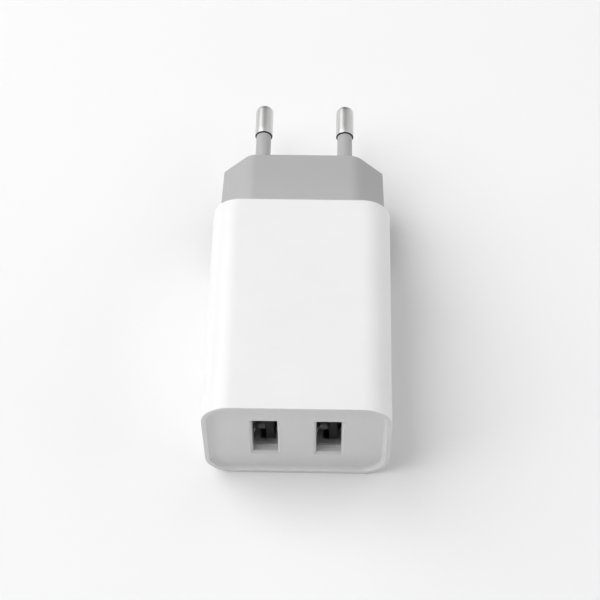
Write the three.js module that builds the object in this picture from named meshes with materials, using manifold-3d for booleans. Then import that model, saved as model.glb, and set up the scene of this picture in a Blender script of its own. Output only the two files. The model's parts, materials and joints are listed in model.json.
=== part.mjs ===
// A two-port USB wall charger with a flat European plug, lying on its broad underside.
// Millimetres. X runs across the width, Y from the ports to the pin tips, Z up.
// The helpers and pieces are drawn with Y = 0 at the front rim and Z = 0 on the underside.
// The last lines centre the whole charger on the origin.
import * as THREE from "three";
import { mergeVertices } from "three/addons/utils/BufferGeometryUtils.js";
import Module from "manifold-3d";

const wasm = await Module();
wasm.setup();

// Driving dimensions of the casing
const HOUSING_WIDTH = 38;
const HOUSING_HEIGHT = 27;
const HOUSING_LENGTH = 51.5;
const HOUSING_CORNER_RADIUS = 6;
const WALL = 1.6;
const MID_HEIGHT = HOUSING_HEIGHT / 2;
const RIM_WIDTH = 0.95;
const RECESS_DEPTH = 0.9;
const RECESS_FILLET = 0.85;
const FRONT_WALL = 2.1;
const FRONT_WALL_BACK = RECESS_DEPTH + FRONT_WALL;
const HOUSING_END_ROUNDING = 0.6;
const RIM_EDGE_ROUNDING = 0.3;
const END_CAP_THICKNESS = 2.4;
const END_CAP_RIM = 1;
const CLEARANCE = 0.1;

// Driving dimensions of the plug, to the flat two-pin standard; the widths reach to the sharp side corners
const PIN_SPACING = 18.6;
const PIN_LENGTH = 19;
const PIN_TIP_RADIUS = 2;
const SLEEVE_RADIUS = 1.7;
const SLEEVE_VISIBLE = 10.45;
const SLEEVE_HEAD_RADIUS = 2.5;
const SLEEVE_HEAD_LENGTH = 1.2;
const PIN_CORE_RADIUS = 1.3;
const PLUG_BASE_LENGTH = 17.5;
const PLUG_BASE_HEIGHT = 13.4;
const PLUG_BASE_WIDTH_AT_BODY = 37.3;
const PLUG_BASE_WIDTH_AT_FACE = 36.2;
const PLUG_FLAT_SHARE = 0.655;
const PLUG_BLEND_RADIUS = 3.6;
const PLUG_SIDE_RADIUS = 0.6;
const PLUG_FACE_WALL = 3;
const PLUG_FACE_ROUNDING = 0.45;
const SPIGOT_WIDTH = 29;
const SPIGOT_HEIGHT = 9.6;
const SPIGOT_CORNER_RADIUS = 1.5;
const SPIGOT_WALL = 1.7;
const SPIGOT_REACH = 2;
const HOOK_WIDTH = 8;
const HOOK_CATCH = 0.8;
const HOOK_SLOPE = 1.4;
const HOOK_LAND = 0.4;

// Driving dimensions of the ports, to the type A receptacle standard, stood on their narrow side
const PORT_SPACING = 12.95;
const WINDOW_WIDTH = 5.2;
const WINDOW_HEIGHT = 12.9;
const WINDOW_CHAMFER = 0.5;
const WINDOW_CORNER = 0.2;
const SHELL_INNER_WIDTH = 5.12;
const SHELL_INNER_HEIGHT = 12.5;
const SHELL_SHEET = 0.3;
const SHELL_LENGTH = 13.6;
const SHELL_SLOT_START = 1.2;
const SHELL_SLOT_END = 3.55;
const NARROW_SLOT_WIDTH = 2.2;
const WIDE_SLOT_WIDTH = 1.8;
const WIDE_SLOT_PLACES = [-3.3, 3.3];
const TONGUE_THICKNESS = 1.84;
const TONGUE_HEIGHT = 11.1;
const TONGUE_SET_BACK = 0.7;
const TONGUE_LENGTH = 8.6;
const TONGUE_NOSE = 0.35;
const TONGUE_CORNER_RADIUS = 0.25;
const CONTACT_ROWS = [-3.5, -1, 1, 3.5];
const CONTACT_WIDTH = 1;
const CONTACT_SHEET = 0.25;
const CONTACT_BOW = 0.55;
const CONTACT_GROOVE = 1.05;

// Driving dimensions of the circuit board
const BOARD_TOP = 6.6;
const BOARD_THICKNESS = 1.6;
const BOARD_BOTTOM = BOARD_TOP - BOARD_THICKNESS;
const BOARD_WIDTH = 32.6;
const BOARD_FRONT = 7.7;
const BOARD_BACK = 45.5;
const RAIL_UNDER_BOARD = 1.2;

const PLUG_START = HOUSING_LENGTH + 0.05;
const PLUG_FACE = HOUSING_LENGTH + PLUG_BASE_LENGTH;
const TOTAL_LENGTH = PLUG_FACE + PIN_LENGTH;

// Materials
function plastic(color, roughness) {
  return () => new THREE.MeshStandardMaterial({ color, roughness, metalness: 0 });
}

function metal(color, roughness) {
  return () => new THREE.MeshStandardMaterial({ color, roughness, metalness: 1 });
}

const whitePlastic = plastic(0xf2f2f0, 0.3);
const greyPlastic = plastic(0xa9a9a9, 0.45);
const blackPlastic = plastic(0x1c1c1c, 0.5);
const boardGreen = plastic(0x2f6b45, 0.55);
const tapeYellow = plastic(0xd9b845, 0.5);
const ferriteGrey = plastic(0x3b3b3f, 0.7);
const ceramicBlue = plastic(0x2d5fa6, 0.35);
const sleeveDark = plastic(0x23304a, 0.35);
const nickel = metal(0xd0d0ce, 0.25);
const springBrass = metal(0xc9a24a, 0.35);
const portSteel = metal(0xb4b4b2, 0.35);

// Outlines, as lists of points in the plane across the charger

// Points round one corner of an outline: an arc that touches both of its sides.
function cornerArc(before, corner, after, radius, steps) {
  const toBefore = before.clone().sub(corner).normalize();
  const toAfter = after.clone().sub(corner).normalize();
  const halfAngle = Math.acos(toBefore.dot(toAfter)) / 2;
  const reach = radius / Math.tan(halfAngle);
  const inward = toBefore.clone().add(toAfter).normalize();
  const centre = corner.clone().addScaledVector(inward, radius / Math.sin(halfAngle));
  const from = corner.clone().addScaledVector(toBefore, reach).sub(centre).angle();
  const to = corner.clone().addScaledVector(toAfter, reach).sub(centre).angle();
  const turn = THREE.MathUtils.euclideanModulo(to - from + Math.PI, 2 * Math.PI) - Math.PI;
  return Array.from({ length: steps + 1 }, (unused, step) => {
    const angle = from + (turn * step) / steps;
    return new THREE.Vector2(radius * Math.cos(angle), radius * Math.sin(angle)).add(centre);
  });
}

// corners holds [x, z, radius] anticlockwise.
function roundedOutline(corners, steps) {
  const points = corners.map(([x, z]) => new THREE.Vector2(x, z));
  return corners.flatMap(([, , radius], index) => {
    const before = points.at(index - 1);
    const after = points[(index + 1) % points.length];
    return cornerArc(before, points[index], after, radius, steps);
  });
}

function roundedRectangle(width, height, radius, centreX, centreZ, steps = 6) {
  const corners = [
    [-1, -1],
    [1, -1],
    [1, 1],
    [-1, 1],
  ].map(([sideX, sideZ]) => [
    centreX + (sideX * width) / 2,
    centreZ + (sideZ * height) / 2,
    radius,
  ]);
  return roundedOutline(corners, steps);
}

function housingOutline(inset) {
  return roundedRectangle(
    HOUSING_WIDTH - 2 * inset,
    HOUSING_HEIGHT - 2 * inset,
    HOUSING_CORNER_RADIUS - inset,
    0,
    MID_HEIGHT,
    8,
  );
}

// The six-sided outline of the plug base: flat above and below, a blunt point on each side.
function plugOutline(width, inset) {
  const side = width / 2 - inset;
  const flat = (width / 2) * PLUG_FLAT_SHARE - inset / 2;
  const rise = PLUG_BASE_HEIGHT / 2 - inset;
  return roundedOutline(
    [
      [-side, MID_HEIGHT, PLUG_SIDE_RADIUS],
      [-flat, MID_HEIGHT - rise, PLUG_BLEND_RADIUS],
      [flat, MID_HEIGHT - rise, PLUG_BLEND_RADIUS],
      [side, MID_HEIGHT, PLUG_SIDE_RADIUS],
      [flat, MID_HEIGHT + rise, PLUG_BLEND_RADIUS],
      [-flat, MID_HEIGHT + rise, PLUG_BLEND_RADIUS],
    ],
    5,
  );
}

// Solids

// A closed skin over outlines of equal point counts, each at its own y, in order of rising y.
function loft(sections) {
  const count = sections[0].outline.length;
  const positions = sections.flatMap(({ y, outline }) =>
    outline.flatMap((point) => [point.x, y, point.y]),
  );
  const triangles = [];
  for (let row = 0; row < sections.length - 1; row += 1) {
    for (let index = 0; index < count; index += 1) {
      const next = (index + 1) % count;
      const near = row * count;
      const far = near + count;
      triangles.push(near + index, far + index, near + next);
      triangles.push(near + next, far + index, far + next);
    }
  }
  const lastRow = (sections.length - 1) * count;
  for (const [a, b, c] of THREE.ShapeUtils.triangulateShape(sections[0].outline, [])) {
    triangles.push(a, b, c);
  }
  for (const [a, b, c] of THREE.ShapeUtils.triangulateShape(sections.at(-1).outline, [])) {
    triangles.push(lastRow + a, lastRow + c, lastRow + b);
  }
  const geometry = new THREE.BufferGeometry();
  geometry.setAttribute("position", new THREE.Float32BufferAttribute(positions, 3));
  geometry.setIndex(triangles);
  return geometry;
}

function prism(outline, yFrom, yTo) {
  return loft([
    { y: yFrom, outline },
    { y: yTo, outline },
  ]);
}

// Sections that round an end over; towards is 1 for an end that faces +Y and -1 for one that faces -Y.
function roundedEnd(outlineInset, yEnd, towards, radius, steps) {
  const sections = Array.from({ length: steps + 1 }, (unused, step) => {
    const angle = (step / steps) * (Math.PI / 2);
    return {
      y: yEnd - towards * radius * (1 - Math.sin(angle)),
      outline: outlineInset(radius * (1 - Math.cos(angle))),
    };
  });
  return towards > 0 ? sections : sections.reverse();
}

function block(x, y, z) {
  const geometry = new THREE.BoxGeometry(x[1] - x[0], y[1] - y[0], z[1] - z[0]);
  return geometry.translate((x[0] + x[1]) / 2, (y[0] + y[1]) / 2, (z[0] + z[1]) / 2);
}

// A turned piece that stands on the board: [radius, height] pairs from the axis back to it.
function standing(profile, x, y, z, segments = 20) {
  const points = profile.map(([radius, height]) => new THREE.Vector2(radius, height));
  const geometry = new THREE.LatheGeometry(points, segments);
  return geometry.rotateX(Math.PI / 2).translate(x, y, z);
}

// A turned piece whose axis runs along the charger.
function lying(profile, x, z, segments = 24) {
  const points = profile.map(([radius, y]) => new THREE.Vector2(radius, y));
  return new THREE.LatheGeometry(points, segments).translate(x, 0, z);
}

// A sheet profile drawn in the plane of Y and Z, given a thickness across X.
function sheetAcross(points, x, width) {
  const shape = new THREE.Shape(points.map(([y, z]) => new THREE.Vector2(y, z)));
  const geometry = new THREE.ExtrudeGeometry(shape, { depth: width, bevelEnabled: false });
  // Two quarter turns take the drawing plane to Y-Z and the depth to X.
  return geometry
    .rotateX(Math.PI / 2)
    .rotateZ(Math.PI / 2)
    .translate(x - width / 2, 0, 0);
}

// Booleans

function solid(geometry) {
  const bare = geometry.clone();
  bare.deleteAttribute("normal");
  bare.deleteAttribute("uv");
  const merged = mergeVertices(bare, 1e-4);
  return new wasm.Manifold(
    new wasm.Mesh({
      numProp: 3,
      vertProperties: merged.attributes.position.array,
      triVerts: new Uint32Array(merged.index.array),
    }),
  );
}

function combine(base, { cut = [], add = [] }) {
  let result = solid(base);
  for (const geometry of add) {
    result = result.add(solid(geometry));
  }
  for (const geometry of cut) {
    result = result.subtract(solid(geometry));
  }
  const mesh = result.getMesh();
  const geometry = new THREE.BufferGeometry();
  geometry.setAttribute("position", new THREE.Float32BufferAttribute(mesh.vertProperties, 3));
  geometry.setIndex(Array.from(mesh.triVerts));
  return geometry;
}

const charger = new THREE.Group();

function piece(name, geometry, makeMaterial) {
  const mesh = new THREE.Mesh(geometry, makeMaterial());
  mesh.name = name;
  charger.add(mesh);
}

const PORTS = [
  { side: "left", x: -PORT_SPACING / 2 },
  { side: "right", x: PORT_SPACING / 2 },
];
const PINS = [
  { side: "left", x: -PIN_SPACING / 2 },
  { side: "right", x: PIN_SPACING / 2 },
];

// Casing

// The recess floor meets the rim in a hollow quarter round.
function recessCutter() {
  const steps = 5;
  const fillet = Array.from({ length: steps + 1 }, (unused, step) => {
    const angle = (step / steps) * (Math.PI / 2);
    return {
      y: RECESS_DEPTH - RECESS_FILLET * (1 - Math.cos(angle)),
      outline: housingOutline(RIM_WIDTH + RECESS_FILLET * (1 - Math.sin(angle))),
    };
  });
  return loft([{ y: -1, outline: housingOutline(RIM_WIDTH) }, ...fillet.reverse()]);
}

// A window is straight, with a chamfer all round its front edge.
function windowOutline(x, grow) {
  const width = WINDOW_WIDTH + 2 * grow;
  const height = WINDOW_HEIGHT + 2 * grow;
  return roundedRectangle(width, height, WINDOW_CORNER, x, MID_HEIGHT, 1);
}

function windowCutter(x) {
  const mouth = windowOutline(x, WINDOW_CHAMFER);
  const throat = windowOutline(x, 0);
  return loft([
    { y: 0, outline: mouth },
    { y: RECESS_DEPTH, outline: mouth },
    { y: RECESS_DEPTH + WINDOW_CHAMFER, outline: throat },
    { y: FRONT_WALL_BACK + 1, outline: throat },
  ]);
}

function boardRail(side) {
  const inner = side * (BOARD_WIDTH / 2 - RAIL_UNDER_BOARD);
  const outer = side * (HOUSING_WIDTH / 2 - WALL + CLEARANCE);
  const across = [Math.min(inner, outer), Math.max(inner, outer)];
  const upright = [WALL + RAIL_UNDER_BOARD, BOARD_BOTTOM - CLEARANCE];
  return block(across, [FRONT_WALL_BACK - CLEARANCE, BOARD_BACK], upright);
}

function mainHousing() {
  const capSeat = HOUSING_LENGTH - END_CAP_THICKNESS - CLEARANCE;
  const outside = loft([
    ...roundedEnd(housingOutline, 0, -1, RIM_EDGE_ROUNDING, 2),
    ...roundedEnd(housingOutline, HOUSING_LENGTH, 1, HOUSING_END_ROUNDING, 3),
  ]);
  const hollow = prism(housingOutline(WALL), FRONT_WALL_BACK, HOUSING_LENGTH + 1);
  const seat = prism(housingOutline(END_CAP_RIM), capSeat, HOUSING_LENGTH + 1);
  const shell = combine(outside, { cut: [recessCutter(), hollow, seat] });
  const windows = PORTS.map(({ x }) => windowCutter(x));
  return combine(shell, { add: [boardRail(-1), boardRail(1)], cut: windows });
}

// The plug base's spigot, or the hole it fits, made larger all round by grow.
function spigotOutline(grow) {
  const width = SPIGOT_WIDTH + 2 * grow;
  const height = SPIGOT_HEIGHT + 2 * grow;
  return roundedRectangle(width, height, SPIGOT_CORNER_RADIUS + grow, 0, MID_HEIGHT);
}

function plugEndCap() {
  const back = HOUSING_LENGTH - END_CAP_THICKNESS;
  const plate = prism(housingOutline(END_CAP_RIM + CLEARANCE), back, HOUSING_LENGTH);
  return combine(plate, { cut: [prism(spigotOutline(CLEARANCE), back - 1, HOUSING_LENGTH + 1)] });
}

// A snap hook above (side 1) or below (side -1) the spigot catches behind the end cap.
function spigotHook(side) {
  const catchFace = HOUSING_LENGTH - END_CAP_THICKNESS - CLEARANCE;
  const slopeStart = catchFace - HOOK_LAND;
  const slopeEnd = slopeStart - HOOK_SLOPE;
  const surface = MID_HEIGHT + (side * SPIGOT_HEIGHT) / 2;
  const tip = surface + side * HOOK_CATCH;
  const root = surface - side * HOOK_CATCH;
  const outline = [
    [catchFace, root],
    [catchFace, tip],
    [slopeStart, tip],
    [slopeEnd, surface],
    [slopeEnd, root],
  ];
  return sheetAcross(side > 0 ? outline : outline.reverse(), 0, HOOK_WIDTH);
}

function pinHole(x) {
  const radius = SLEEVE_RADIUS + CLEARANCE;
  const from = PLUG_FACE - PLUG_FACE_WALL - 1;
  const to = PLUG_FACE + 1;
  return lying([[0, from], [radius, from], [radius, to], [0, to]], x, MID_HEIGHT);
}

function plugBase() {
  const spigotBack = HOUSING_LENGTH - END_CAP_THICKNESS - SPIGOT_REACH;
  const faceOutline = (inset) => plugOutline(PLUG_BASE_WIDTH_AT_FACE, inset);
  const body = loft([
    { y: PLUG_START, outline: plugOutline(PLUG_BASE_WIDTH_AT_BODY, 0) },
    ...roundedEnd(faceOutline, PLUG_FACE, 1, PLUG_FACE_ROUNDING, 2),
  ]);
  const spigot = prism(spigotOutline(0), spigotBack, PLUG_START + 1);
  const hollow = prism(spigotOutline(-SPIGOT_WALL), spigotBack - 1, PLUG_FACE - PLUG_FACE_WALL);
  return combine(body, {
    add: [spigot, spigotHook(-1), spigotHook(1)],
    cut: [hollow, ...PINS.map(({ x }) => pinHole(x))],
  });
}

// Pins

const PIN_TAIL_LENGTH = 8;
const PIN_TAIL_BACK = PLUG_FACE - PLUG_FACE_WALL - PIN_TAIL_LENGTH;
const PIN_SHOULDER_ROUNDING = 0.06;
const PIN_DOME_LENGTH = 1.6;
const PIN_DOME_STEPS = 5;

function pin(x) {
  const shoulder = PLUG_FACE + SLEEVE_VISIBLE;
  const dome = Array.from({ length: PIN_DOME_STEPS }, (unused, step) => {
    const angle = (step / PIN_DOME_STEPS) * (Math.PI / 2);
    const y = TOTAL_LENGTH - PIN_DOME_LENGTH * (1 - Math.sin(angle));
    return [PIN_TIP_RADIUS * Math.cos(angle), y];
  });
  return lying(
    [
      [0, PIN_TAIL_BACK],
      [PIN_CORE_RADIUS, PIN_TAIL_BACK],
      [PIN_CORE_RADIUS, shoulder],
      [PIN_TIP_RADIUS - PIN_SHOULDER_ROUNDING, shoulder],
      [PIN_TIP_RADIUS, shoulder + PIN_SHOULDER_ROUNDING],
      ...dome,
      [0, TOTAL_LENGTH],
    ],
    x,
    MID_HEIGHT,
  );
}

// The sleeve's wider head stops it behind the face wall.
function pinSleeve(x) {
  const headFront = PLUG_FACE - PLUG_FACE_WALL - CLEARANCE;
  const headBack = headFront - SLEEVE_HEAD_LENGTH;
  const end = PLUG_FACE + SLEEVE_VISIBLE - CLEARANCE / 2;
  const bore = PIN_CORE_RADIUS + CLEARANCE;
  return lying(
    [
      [bore, headBack],
      [SLEEVE_HEAD_RADIUS, headBack],
      [SLEEVE_HEAD_RADIUS, headFront],
      [SLEEVE_RADIUS, headFront],
      [SLEEVE_RADIUS, end],
      [bore, end],
      [bore, headBack],
    ],
    x,
    MID_HEIGHT,
  );
}

const SPRING_SHEET = 0.4;
const SPRING_WIDTH = 2.4;
const SPRING_BEND = 1.2;
const SPRING_LIP = 0.5;
const SPRING_FOOT = BOARD_BACK - 2.5;

// A leaf spring rises from the board, bends towards the plug and bears on the pin's tail from below.
function mainsSpring(x) {
  const footBack = SPRING_FOOT + SPRING_SHEET;
  const base = BOARD_TOP + CLEARANCE;
  const top = MID_HEIGHT - PIN_CORE_RADIUS - CLEARANCE / 2;
  const under = top - SPRING_SHEET;
  const end = PIN_TAIL_BACK + PIN_TAIL_LENGTH / 2;
  return sheetAcross(
    [
      [SPRING_FOOT, base],
      [footBack, base],
      [footBack, under - SPRING_BEND],
      [footBack + SPRING_BEND, under],
      [end - SPRING_BEND, under],
      [end, under - SPRING_LIP],
      [end, top - SPRING_LIP],
      [end - SPRING_BEND, top],
      [SPRING_FOOT + SPRING_BEND, top],
      [SPRING_FOOT, top - SPRING_BEND],
    ],
    x,
    SPRING_WIDTH,
  );
}

// Ports

const SHELL_FRONT = FRONT_WALL_BACK + 0.05;
const TONGUE_FRONT = SHELL_FRONT + TONGUE_SET_BACK;
const TONGUE_ROOT = TONGUE_FRONT + TONGUE_LENGTH;
const CONTACT_TIP = TONGUE_FRONT + 1.3;
const CONTACT_ROOT = TONGUE_ROOT + 1.2;

// A folded steel shell: open at both ends, a spring slot in each narrow side and two in each wide one.
function portShell(x) {
  const outerX = SHELL_INNER_WIDTH / 2 + SHELL_SHEET;
  const outerZ = SHELL_INNER_HEIGHT / 2 + SHELL_SHEET;
  const tube = block(
    [x - outerX, x + outerX],
    [SHELL_FRONT, SHELL_FRONT + SHELL_LENGTH],
    [MID_HEIGHT - outerZ, MID_HEIGHT + outerZ],
  );
  const inside = block(
    [x - SHELL_INNER_WIDTH / 2, x + SHELL_INNER_WIDTH / 2],
    [SHELL_FRONT - 1, SHELL_FRONT + SHELL_LENGTH + 1],
    [MID_HEIGHT - SHELL_INNER_HEIGHT / 2, MID_HEIGHT + SHELL_INNER_HEIGHT / 2],
  );
  const slotLength = [SHELL_FRONT + SHELL_SLOT_START, SHELL_FRONT + SHELL_SLOT_END];
  const narrowSlots = block([x - NARROW_SLOT_WIDTH / 2, x + NARROW_SLOT_WIDTH / 2], slotLength, [
    MID_HEIGHT - outerZ - 1,
    MID_HEIGHT + outerZ + 1,
  ]);
  const wideSlots = WIDE_SLOT_PLACES.map((place) =>
    block([x - outerX - 1, x + outerX + 1], slotLength, [
      MID_HEIGHT + place - WIDE_SLOT_WIDTH / 2,
      MID_HEIGHT + place + WIDE_SLOT_WIDTH / 2,
    ]),
  );
  return combine(tube, { cut: [inside, narrowSlots, ...wideSlots] });
}

// The tongue's outline, drawn in by inset.
function tongueOutline(x, inset) {
  const thickness = TONGUE_THICKNESS - 2 * inset;
  const height = TONGUE_HEIGHT - 2 * inset;
  const radius = Math.max(TONGUE_CORNER_RADIUS - inset, 0.05);
  return roundedRectangle(thickness, height, radius, x + TONGUE_THICKNESS / 2, MID_HEIGHT, 2);
}

// The black moulding: a block that fills the shell's back and a tongue with four contact grooves.
function portInsulator(x) {
  const halfWidth = SHELL_INNER_WIDTH / 2 - CLEARANCE / 2;
  const halfHeight = SHELL_INNER_HEIGHT / 2 - CLEARANCE / 2;
  const back = block(
    [x - halfWidth, x + halfWidth],
    [TONGUE_ROOT, SHELL_FRONT + SHELL_LENGTH - 2 * CLEARANCE],
    [MID_HEIGHT - halfHeight, MID_HEIGHT + halfHeight],
  );
  const tongue = loft([
    { y: TONGUE_FRONT, outline: tongueOutline(x, TONGUE_NOSE) },
    { y: TONGUE_FRONT + TONGUE_NOSE, outline: tongueOutline(x, 0) },
    { y: TONGUE_ROOT + 0.5, outline: tongueOutline(x, 0) },
  ]);
  const halfGroove = CONTACT_WIDTH / 2 + CLEARANCE;
  const grooves = CONTACT_ROWS.map((row) =>
    block([x - SHELL_INNER_WIDTH / 2, x + CONTACT_GROOVE], [TONGUE_FRONT + 1, CONTACT_ROOT + 0.2], [
      MID_HEIGHT + row - halfGroove,
      MID_HEIGHT + row + halfGroove,
    ]),
  );
  return combine(back, { add: [tongue], cut: grooves });
}

// A spring contact: rooted at the back of its groove, bowed proud of the tongue, its tip tucked in.
function portContact(x, row) {
  const face = [
    [CLEARANCE, CONTACT_ROOT],
    [CLEARANCE, TONGUE_ROOT - 0.6],
    [-CONTACT_BOW, CONTACT_TIP + 2.2],
    [-CONTACT_BOW, CONTACT_TIP + 1.5],
    [CLEARANCE, CONTACT_TIP],
  ];
  const back = face.map(([across, y]) => [across + CONTACT_SHEET, y]).reverse();
  const outline = [...face, ...back].map(([across, y]) => new THREE.Vector2(x + across, y));
  const shape = new THREE.Shape(outline);
  const geometry = new THREE.ExtrudeGeometry(shape, { depth: CONTACT_WIDTH, bevelEnabled: false });
  return geometry.translate(0, 0, MID_HEIGHT + row - CONTACT_WIDTH / 2);
}

// Circuit board and what stands on it

function circuitBoard() {
  return block([-BOARD_WIDTH / 2, BOARD_WIDTH / 2], [BOARD_FRONT, BOARD_BACK], [BOARD_BOTTOM, BOARD_TOP]);
}

const ON_BOARD = BOARD_TOP + CLEARANCE;

const CAPACITORS = [
  { name: "input_capacitor_left", x: -10.8, y: 37.8, radius: 4.6, height: 14.5 },
  { name: "input_capacitor_right", x: -0.9, y: 38.4, radius: 4.3, height: 14.5 },
  { name: "output_capacitor_front", x: -12.4, y: 21.6, radius: 3.4, height: 12.5 },
  { name: "output_capacitor_back", x: -12.4, y: 29.4, radius: 3.4, height: 12.5 },
];
const DISCS = [
  { name: "safety_capacitor", x: -6, y: 25.6, radius: 3.4, thickness: 2.6 },
  { name: "surge_varistor", x: 12.9, y: 36.7, radius: 3, thickness: 2.4 },
];
const CHIPS = [
  { name: "bridge_rectifier", x: 6, y: 41, width: 4.6, length: 3.8, height: 2.4 },
  { name: "controller_chip", x: -1, y: 35.5, width: 4, length: 5, height: 1.6 },
  { name: "optocoupler", x: -5.5, y: 30, width: 4.5, length: 6.4, height: 2.2 },
  { name: "output_rectifier_chip", x: 4, y: 23, width: 4, length: 5, height: 1.6 },
  { name: "port_controller_chip", x: -9, y: 20.5, width: 4, length: 5, height: 1.6 },
];
const CHOKE = { x: 7, y: 38.6, radius: 3, waist: 2.6, flange: 1.2, height: 8 };
const RESISTOR = { x: 13.4, y: 42, radius: 1.9, height: 9 };

// An electrolytic capacitor: a can with a rolled neck near its base.
function standingCan({ x, y, radius, height }) {
  const edge = 0.4;
  const neck = 1.6;
  const profile = [
    [0, 0],
    [radius - edge, 0],
    [radius, edge],
    [radius, neck - edge],
    [radius - edge, neck],
    [radius, neck + edge],
    [radius, height - edge],
    [radius - edge, height],
    [0, height],
  ];
  return standing(profile, x, y, ON_BOARD);
}

// A drum-core choke: flanges above and below a narrower winding.
function drumChoke({ x, y, radius, waist, flange, height }) {
  const slope = radius - waist;
  const profile = [
    [0, 0],
    [radius, 0],
    [radius, flange],
    [waist, flange + slope],
    [waist, height - flange - slope],
    [radius, height - flange],
    [radius, height],
    [0, height],
  ];
  return standing(profile, x, y, ON_BOARD);
}

// A dipped disc stood on edge, facing along the charger.
function disc({ x, y, radius, thickness }) {
  const shoulder = 0.85 * radius;
  const profile = [
    [0, -thickness / 2],
    [shoulder, -thickness / 2],
    [radius, -thickness / 6],
    [radius, thickness / 6],
    [shoulder, thickness / 2],
    [0, thickness / 2],
  ];
  const raised = ON_BOARD + 0.8 + radius;
  return lying(profile, x, raised, 20).translate(0, y, 0);
}

function fusibleResistor({ x, y, radius, height }) {
  const edge = 0.3;
  const profile = [
    [0, 0],
    [radius - edge, 0],
    [radius, edge],
    [radius, height - edge],
    [radius - edge, height],
    [0, height],
  ];
  return standing(profile, x, y, ON_BOARD, 16);
}

// A surface-mounted package on the underside of the board.
function chipUnder({ x, y, width, length, height }) {
  const top = BOARD_BOTTOM - CLEARANCE;
  return block(
    [x - width / 2, x + width / 2],
    [y - length / 2, y + length / 2],
    [top - height, top],
  );
}

// Transformer: two E-shaped ferrite halves meet inside a bobbin that carries the winding.
const CORE = { x: 5.6, y: 27.5, width: 16, depth: 5, half: 6.9, back: 2, leg: 2, centre: 4 };
const CORE_BASE = ON_BOARD + 0.9;

function coreHalf(lower) {
  const zFrom = CORE_BASE + (lower ? 0 : CORE.half + 0.1);
  const alongY = [CORE.y - CORE.depth / 2, CORE.y + CORE.depth / 2];
  const whole = block(
    [CORE.x - CORE.width / 2, CORE.x + CORE.width / 2],
    alongY,
    [zFrom, zFrom + CORE.half],
  );
  const windowZ = lower
    ? [zFrom + CORE.back, zFrom + CORE.half + 1]
    : [zFrom - 1, zFrom + CORE.half - CORE.back];
  const inner = CORE.centre / 2;
  const outer = CORE.width / 2 - CORE.leg;
  const cuts = [
    [CORE.x - outer, CORE.x - inner],
    [CORE.x + inner, CORE.x + outer],
  ].map((across) => block(across, [alongY[0] - 1, alongY[1] + 1], windowZ));
  return combine(whole, { cut: cuts });
}

const BOBBIN = {
  from: CORE_BASE + CORE.back + CLEARANCE,
  to: CORE_BASE + 2 * CORE.half - CORE.back,
  flange: 0.8,
  wall: 0.7,
  depth: 13,
  foot: 2.4,
};

// A block centred on the transformer's upright axis.
function aroundCore(width, depth, zFrom, zTo) {
  return block(
    [CORE.x - width / 2, CORE.x + width / 2],
    [CORE.y - depth / 2, CORE.y + depth / 2],
    [zFrom, zTo],
  );
}

function bobbin() {
  const boreWidth = CORE.centre + 2 * CLEARANCE;
  const boreDepth = CORE.depth + 2 * CLEARANCE;
  const flangeWidth = CORE.width - 2 * CORE.leg - 2 * CLEARANCE;
  const thick = 2 * BOBBIN.wall;
  const tube = aroundCore(boreWidth + thick, boreDepth + thick, BOBBIN.from, BOBBIN.to);
  const flanges = [
    aroundCore(flangeWidth, BOBBIN.depth, BOBBIN.from, BOBBIN.from + BOBBIN.flange),
    aroundCore(flangeWidth, BOBBIN.depth, BOBBIN.to - BOBBIN.flange, BOBBIN.to),
  ];
  const feet = [-1, 1].map((side) => {
    const middle = CORE.y + (side * (BOBBIN.depth - BOBBIN.foot)) / 2;
    return block(
      [CORE.x - flangeWidth / 2, CORE.x + flangeWidth / 2],
      [middle - BOBBIN.foot / 2, middle + BOBBIN.foot / 2],
      [ON_BOARD, BOBBIN.from + BOBBIN.flange / 2],
    );
  });
  const bore = aroundCore(boreWidth, boreDepth, BOBBIN.from - 1, BOBBIN.to + 1);
  return combine(tube, { add: [...flanges, ...feet], cut: [bore] });
}

function winding() {
  const from = BOBBIN.from + BOBBIN.flange + CLEARANCE;
  const to = BOBBIN.to - BOBBIN.flange - CLEARANCE;
  const width = CORE.width - 2 * CORE.leg - 6 * CLEARANCE;
  const body = aroundCore(width, BOBBIN.depth - 6 * CLEARANCE, from, to);
  const clear = 2 * (BOBBIN.wall + 2 * CLEARANCE);
  const bore = aroundCore(CORE.centre + clear, CORE.depth + clear, from - 1, to + 1);
  return combine(body, { cut: [bore] });
}

// Assembly

piece("main_housing", mainHousing(), whitePlastic);
piece("plug_end_cap", plugEndCap(), whitePlastic);
piece("plug_base", plugBase(), greyPlastic);
for (const { side, x } of PINS) {
  piece(`pin_${side}`, pin(x), nickel);
  piece(`pin_sleeve_${side}`, pinSleeve(x), greyPlastic);
  piece(`mains_contact_spring_${side}`, mainsSpring(x), springBrass);
}
for (const { side, x } of PORTS) {
  piece(`usb_port_${side}_shell`, portShell(x), portSteel);
  piece(`usb_port_${side}_insulator`, portInsulator(x), blackPlastic);
  CONTACT_ROWS.forEach((row, index) => {
    piece(`usb_port_${side}_contact_${index + 1}`, portContact(x, row), springBrass);
  });
}
piece("main_circuit_board", circuitBoard(), boardGreen);
piece("transformer_core_lower", coreHalf(true), ferriteGrey);
piece("transformer_core_upper", coreHalf(false), ferriteGrey);
piece("transformer_bobbin", bobbin(), blackPlastic);
piece("transformer_winding", winding(), tapeYellow);
for (const capacitor of CAPACITORS) {
  piece(capacitor.name, standingCan(capacitor), sleeveDark);
}
for (const component of DISCS) {
  piece(component.name, disc(component), ceramicBlue);
}
for (const chip of CHIPS) {
  piece(chip.name, chipUnder(chip), blackPlastic);
}
piece("filter_choke", drumChoke(CHOKE), ferriteGrey);
piece("fusible_resistor", fusibleResistor(RESISTOR), ceramicBlue);

charger.position.set(0, -TOTAL_LENGTH / 2, 0);

export default charger;
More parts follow.
